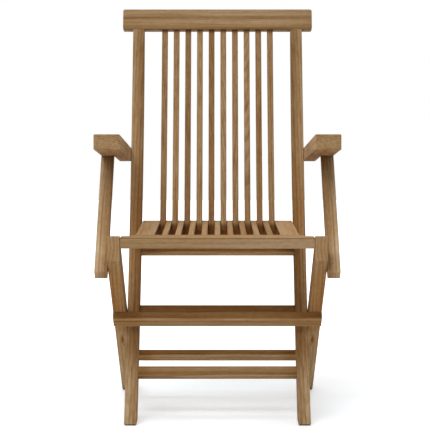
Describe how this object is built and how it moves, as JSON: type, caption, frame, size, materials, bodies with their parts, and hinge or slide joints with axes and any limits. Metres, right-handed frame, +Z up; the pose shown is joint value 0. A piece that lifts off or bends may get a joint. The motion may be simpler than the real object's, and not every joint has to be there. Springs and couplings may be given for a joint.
{
  "type": "folding armchair",
  "caption": "Folding slatted teak armchair: curved back uprights scissor with straight rear legs, and seat, arms and arm posts fold flat along the back.",
  "frame": {"origin": "on the floor under the middle of the open chair's bounding box", "axes": "+X to the right seen from the front, +Y to the rear, +Z up; the chair's front faces -Y"},
  "size_m": [0.564, 0.6198, 1.001],
  "materials": {
    "teak_frame": "planed and sanded teak, unfinished, satin",
    "teak_slats": "planed and sanded teak, unfinished, satin",
    "teak_arms_and_seat": "planed and sanded teak, unfinished, satin",
    "dowel": "turned teak",
    "pad": "dark moulded rubber, matt",
    "steel": "stainless steel, satin",
    "brass": "turned brass"
  },
  "bodies": {
    "back_frame": {"stile_right": "teak_frame", "stile_left": "teak_frame", "front_foot_pads": "pad", "top_rail": "teak_frame", "lower_back_rail": "teak_frame", "pivot_rail": "teak_frame", "front_stretcher": "teak_frame", "back_slat_01": "teak_slats", "back_slat_02": "teak_slats", "back_slat_03": "teak_slats", "back_slat_04": "teak_slats", "back_slat_05": "teak_slats", "back_slat_06": "teak_slats", "back_slat_07": "teak_slats", "back_slat_08": "teak_slats", "back_slat_09": "teak_slats", "back_slat_10": "teak_slats", "frame_bolts": "steel", "frame_nuts": "steel", "frame_washers": "steel"},
    "leg_frame": {"rear_leg_right": "teak_frame", "rear_leg_left": "teak_frame", "rear_foot_pads": "pad", "cross_board": "teak_frame", "rear_stretcher": "teak_frame", "board_dowels": "dowel", "leg_inserts": "brass"},
    "seat": {"seat_front_rail": "teak_arms_and_seat", "seat_rear_rail": "teak_arms_and_seat", "seat_slat_01": "teak_slats", "seat_slat_02": "teak_slats", "seat_slat_03": "teak_slats", "seat_slat_04": "teak_slats", "seat_slat_05": "teak_slats", "seat_slat_06": "teak_slats", "seat_slat_07": "teak_slats", "seat_slat_08": "teak_slats", "seat_slat_09": "teak_slats", "seat_slat_10": "teak_slats", "seat_slat_11": "teak_slats", "seat_side_rail_left": "teak_arms_and_seat", "seat_side_rail_right": "teak_arms_and_seat", "seat_bolts": "steel", "seat_washers": "steel"},
    "arm_left": {"arm_left": "teak_arms_and_seat", "post_bolt_left": "steel", "post_nut_left": "steel", "post_washer_left": "steel"},
    "arm_right": {"arm_right": "teak_arms_and_seat", "post_bolt_right": "steel", "post_nut_right": "steel", "post_washer_right": "steel"},
    "post_left": {"arm_post_left": "teak_arms_and_seat", "brace_bolt_left": "steel", "brace_washer_left": "steel"},
    "post_right": {"arm_post_right": "teak_arms_and_seat", "brace_bolt_right": "steel", "brace_washer_right": "steel"}
  },
  "joints": [
    {"name": "fold", "type": "hinge", "parent": "back_frame", "child": "leg_frame", "pos_m": [0, -0.03171, 0.2246], "axis": [1, 0, 0], "range_deg": [-70, 0]},
    {"name": "seat_pivot", "type": "hinge", "parent": "leg_frame", "child": "seat", "pos_m": [0, -0.29391, 0.4405], "axis": [1, 0, 0], "range_deg": [0, 124.85]},
    {"name": "arm_pivot_left", "type": "hinge", "parent": "back_frame", "child": "arm_left", "pos_m": [0, 0.17045, 0.6245], "axis": [1, 0, 0], "range_deg": [-96.34, 0]},
    {"name": "arm_pivot_right", "type": "hinge", "parent": "back_frame", "child": "arm_right", "pos_m": [0, 0.17045, 0.6245], "axis": [1, 0, 0], "range_deg": [-96.34, 0]},
    {"name": "post_pivot_left", "type": "hinge", "parent": "arm_left", "child": "post_left", "pos_m": [0, -0.02089, 0.64469], "axis": [1, 0, 0], "range_deg": [0, 111.28]},
    {"name": "post_pivot_right", "type": "hinge", "parent": "arm_right", "child": "post_right", "pos_m": [0, -0.02089, 0.64469], "axis": [1, 0, 0], "range_deg": [0, 111.28]}
  ],
  "couplings": [
    {"joint": "seat_pivot", "follows": "fold", "ratio": -1.775},
    {"joint": "arm_pivot_left", "follows": "fold", "ratio": 1.3677},
    {"joint": "arm_pivot_right", "follows": "fold", "ratio": 1.3677},
    {"joint": "post_pivot_left", "follows": "fold", "ratio": -1.5812},
    {"joint": "post_pivot_right", "follows": "fold", "ratio": -1.5812}
  ]
}
